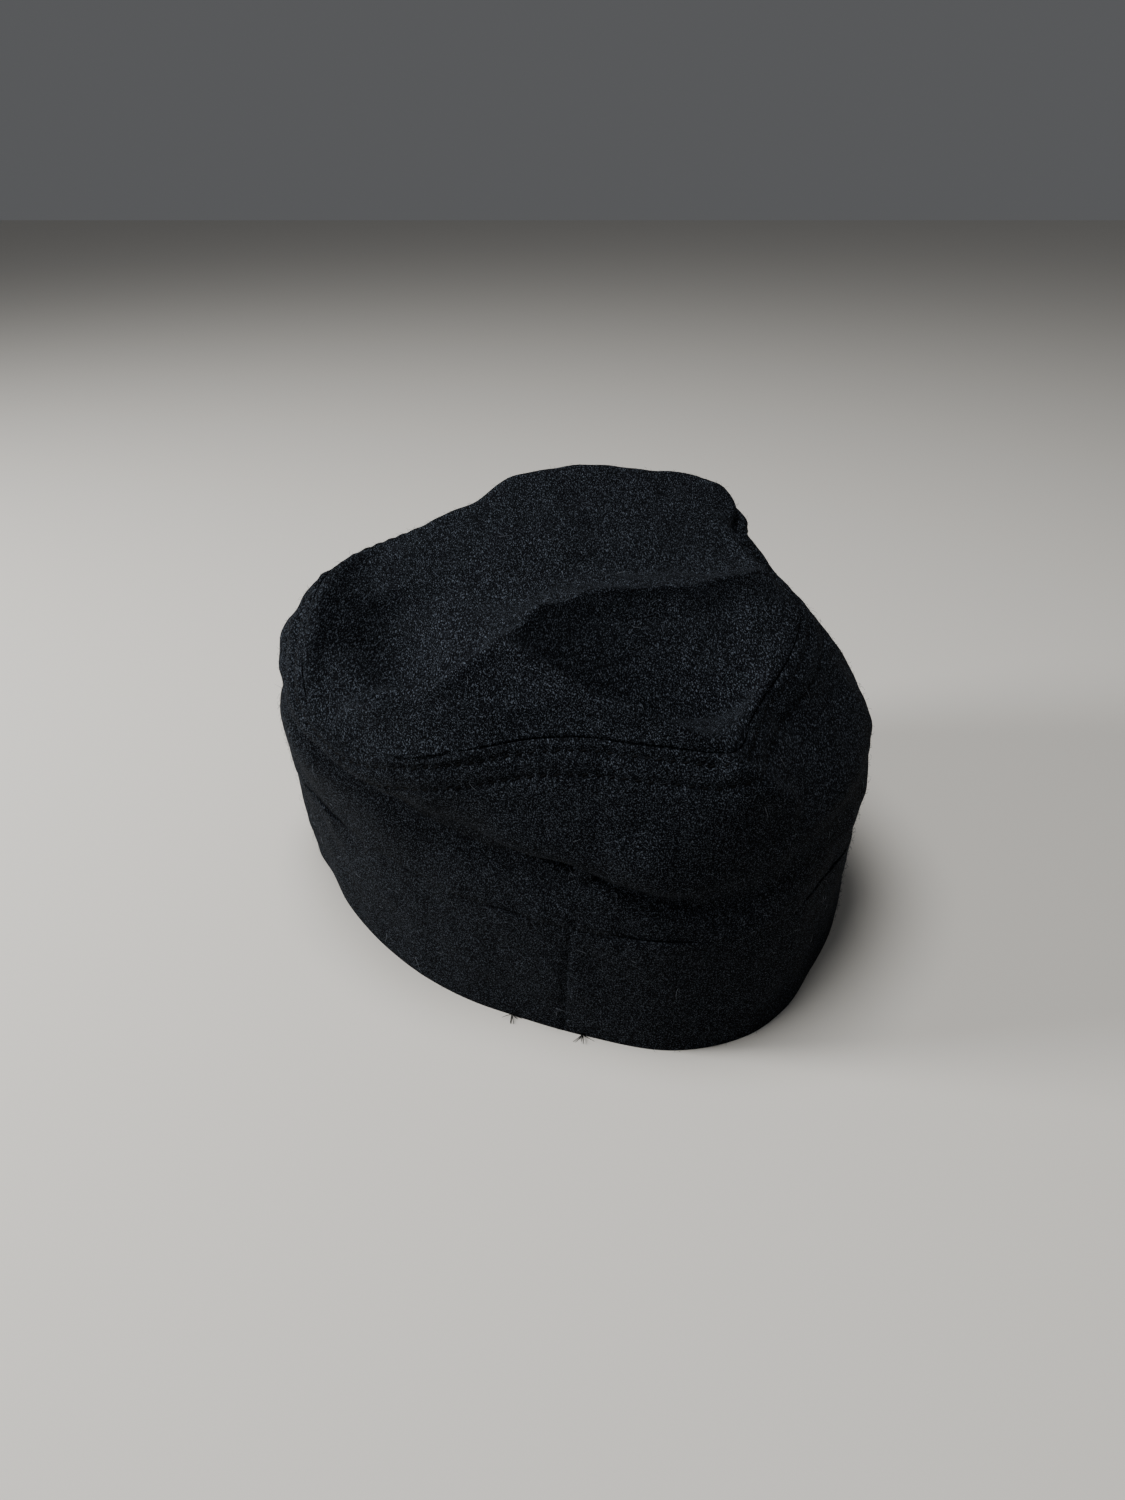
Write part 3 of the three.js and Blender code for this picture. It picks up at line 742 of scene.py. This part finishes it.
# %% Two tufts of thread at the hem
TUFT_TURNS = (259.6, 273.7)
TUFT_THREADS = 7
TUFT_LENGTHS = (2.0, 4.5)
TUFT_RADIUS = 0.16
tuft_draws = np.random.default_rng(53)
tuft_threads = []
for hem in on_wall([(turn, 0.0) for turn in TUFT_TURNS]):
    for _ in range(TUFT_THREADS):
        along = unit(unit(hem) + 0.6 * tuft_draws.normal(size=3) * (1, 1, 0.3))
        side = unit(np.cross(along, (0, 0, 1)))
        up = np.cross(side, along)
        reach = (fibre[:, 2:] + 0.5) * tuft_draws.uniform(*TUFT_LENGTHS)
        round_it = fibre[:, :1] * side + fibre[:, 1:2] * up
        tuft_threads.append(hem + (0, 0, 0.4) + reach * along + TUFT_RADIUS * round_it)
tufts = joined_copies("hem_threads", fibre_faces, np.array(tuft_threads))

# %% Spread the fibres
outer_faces = ((band_face, band_normals), (wall_face, wall_normals), (tip_face, tip_normals))
nap = scattered_fibres(
    "nap_fibres", outer_faces, NAP_FIBRES, NAP_LENGTHS, NAP_RADIUS, NAP_LIFT, 51
)
loose = scattered_fibres(
    "loose_fibres", outer_faces, LOOSE_FIBRES, LOOSE_LENGTHS, LOOSE_RADIUS, LOOSE_LIFT, 52
)

# %% [markdown]
# ## The cloth's finish
# Wool melton is woven, then washed and felted until the weave closes, and brushed. It is a dull
# black that is really a mix of near-black and grey fibres. So its colour is a fine noise from black
# to dark grey, with three sets of short pale fibres on it, each lying its own way.

# %% Nodes in one small function
def linear(hex_code):
    """An sRGB hex colour as linear red, green, blue and alpha."""
    parts = [int(hex_code[i : i + 2], 16) / 255 for i in (1, 3, 5)]
    parts = [c / 12.92 if c <= 0.04045 else ((c + 0.055) / 1.055) ** 2.4 for c in parts]
    return (*parts, 1)


def add_node(material, kind, settings=None, links=None):
    """Adds a node, sets its values and inputs, and links its inputs to other nodes' outputs."""
    node = material.node_tree.nodes.new(kind)
    for name, value in (settings or {}).items():
        if hasattr(node, name) and name not in node.inputs:
            setattr(node, name, value)
        else:
            node.inputs[name].default_value = value
    for name, (source, output) in (links or {}).items():
        material.node_tree.links.new(source.outputs[output], node.inputs[name])
    return node


def new_material(name):
    material = bpy.data.materials.new(name)
    material.use_nodes = True
    material.node_tree.nodes.clear()
    return material


# %% Wool melton
def stretched_noise(material, place, size, stretch, tilt, low, high):
    """Short straight fibres that lie one way: a noise drawn out along one direction."""
    turned = add_node(
        material, "ShaderNodeMapping", {"Rotation": tilt, "Scale": (1.0, 1.0 / stretch, 1.0)},
        {"Vector": (place, "Object")},
    )
    noise = add_node(
        material, "ShaderNodeTexNoise",
        {"Scale": 1 / (size * MM), "Detail": 1.0, "Roughness": 0.5, "Distortion": 0.4},
        {"Vector": (turned, "Vector")},
    )
    return add_node(
        material, "ShaderNodeMapRange", {"From Min": low, "From Max": high}, {"Value": (noise, "Fac")}
    )


# The grain of real melton is about 0.1 mm. It is drawn at about 0.4 mm, the finest that shows here.
GRAIN = 0.42
FIBRE_WIDTH = 0.34
FIBRE_TILTS = ((0.3, 0.2, 0.5), (1.2, 0.4, 1.6), (0.5, 1.3, 2.6))


def wool_melton():
    material = new_material("wool_melton")
    place = add_node(material, "ShaderNodeTexCoord")
    grain = add_node(
        material, "ShaderNodeTexNoise", {"Scale": 1 / (GRAIN * MM), "Detail": 2.0, "Roughness": 0.7},
        {"Vector": (place, "Object")},
    )
    patches = add_node(
        material, "ShaderNodeTexNoise", {"Scale": 1 / (14 * MM), "Detail": 3.0},
        {"Vector": (place, "Object")},
    )
    ground = add_node(material, "ShaderNodeValToRGB", None, {"Fac": (grain, "Fac")})
    ground.color_ramp.elements[0].position = 0.42
    ground.color_ramp.elements[0].color = linear("#020203")
    ground.color_ramp.elements[1].position = 0.64
    ground.color_ramp.elements[1].color = linear("#111418")
    tone = add_node(material, "ShaderNodeValToRGB", None, {"Fac": (patches, "Fac")})
    tone.color_ramp.elements[0].position = 0.3
    tone.color_ramp.elements[0].color = (0.72, 0.71, 0.72, 1)
    tone.color_ramp.elements[1].position = 0.7
    tone.color_ramp.elements[1].color = (1.15, 1.15, 1.15, 1)
    faded = add_node(
        material, "ShaderNodeMix", {"data_type": "RGBA", "blend_type": "MULTIPLY"},
        {6: (ground, 0), 7: (tone, 0)},
    )
    faded.inputs[0].default_value = 1.0
    fibres = None
    for tilt in FIBRE_TILTS:
        lying = stretched_noise(material, place, FIBRE_WIDTH, 4.0, tilt, 0.62, 0.72)
        if fibres:
            fibres = add_node(
                material, "ShaderNodeMath", {"operation": "MAXIMUM"}, {0: (fibres, 0), 1: (lying, 0)}
            )
        else:
            fibres = lying
    colour = add_node(material, "ShaderNodeMix", {"data_type": "RGBA"}, {0: (fibres, 0), 6: (faded, 2)})
    colour.inputs[7].default_value = linear("#535a64")
    height = add_node(
        material, "ShaderNodeMath", {"operation": "ADD"}, {0: (grain, "Fac"), 1: (fibres, 0)}
    )
    bump = add_node(
        material, "ShaderNodeBump", {"Strength": 0.8, "Distance": 0.3 * MM}, {"Height": (height, 0)}
    )
    shader = add_node(
        material, "ShaderNodeBsdfPrincipled",
        {"Roughness": 0.96, "Specular IOR Level": 0.04, "Sheen Weight": 0.01, "Sheen Roughness": 0.6},
        {"Base Color": (colour, 2), "Normal": (bump, 0)},
    )
    shader.inputs["Sheen Tint"].default_value = linear("#c9ced8")
    add_node(material, "ShaderNodeOutputMaterial", None, {"Surface": (shader, 0)})
    return material


WOOL = wool_melton()
for piece, node in ((band, "band"), (side_wall, "side_wall"), (top_panel, "top_panel")):
    piece.data.materials.append(WOOL)
    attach(piece, "root")
    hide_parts(node)
print("wool on", WOOL.name)

# %% Thread and fibres
def plain_material(name, hex_code, roughness):
    material = new_material(name)
    shader = add_node(
        material, "ShaderNodeBsdfPrincipled",
        {"Base Color": linear(hex_code), "Roughness": roughness, "Specular IOR Level": 0.1},
    )
    add_node(material, "ShaderNodeOutputMaterial", None, {"Surface": (shader, 0)})
    return material


THREAD = plain_material("black_cotton_thread", "#07080a", 0.8)
FINISHES = (
    (topstitch, THREAD),
    (tufts, THREAD),
    (nap, plain_material("grey_wool_fibre", "#363b43", 0.9)),
    (loose, plain_material("pale_wool_fibre", "#7d838c", 0.9)),
)
for piece, finish in FINISHES:
    piece.data.materials.append(finish)
    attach(piece, "root")
print("finishes:", [finish.name for _, finish in FINISHES])

# %% [markdown]
# ## Floor and light
# The floor is plain and pale. A soft light stands low at the left, so the left rim keeps it out of the
# hollow behind it. A larger one hangs above and leaves the front of the wall dark.

# %% Floor, light and air
bm = bmesh.new()
bmesh.ops.create_grid(bm, x_segments=1, y_segments=1, size=3)
floor_mesh = bpy.data.meshes.new("floor")
bm.to_mesh(floor_mesh)
bm.free()
floor = bpy.data.objects.new("floor", floor_mesh)
bpy.context.scene.collection.objects.link(floor)
paper = new_material("matt_paper")
paper_shader = add_node(
    paper, "ShaderNodeBsdfPrincipled",
    {"Base Color": linear("#e8e4dc"), "Roughness": 0.9, "Specular IOR Level": 0.2},
)
add_node(paper, "ShaderNodeOutputMaterial", None, {"Surface": (paper_shader, 0)})
floor.data.materials.append(paper)


LIGHT_TARGET = Vector((0, 0, 0.05))
ROOM_STRENGTH = 0.13


def soft_light(name, place, size, watts):
    """A round soft light, turned to the cap; place and size in metres."""
    data = bpy.data.lights.new(name, "AREA")
    data.shape = "DISK"
    data.size = size
    data.energy = watts
    light = bpy.data.objects.new(name, data)
    light.location = place
    light.rotation_euler = (LIGHT_TARGET - Vector(place)).to_track_quat("-Z", "Y").to_euler()
    bpy.context.scene.collection.objects.link(light)


soft_light("low_left_light", (-1.0, -0.04, 0.5), 0.35, 10.5)
soft_light("top_light", (-0.2, -0.05, 1.1), 0.6, 8.6)
world = bpy.data.worlds.new("pale_room")
world.use_nodes = True
background = world.node_tree.nodes["Background"]
background.inputs["Color"].default_value = linear("#e6e8ec")
background.inputs["Strength"].default_value = ROOM_STRENGTH
bpy.context.scene.world = world
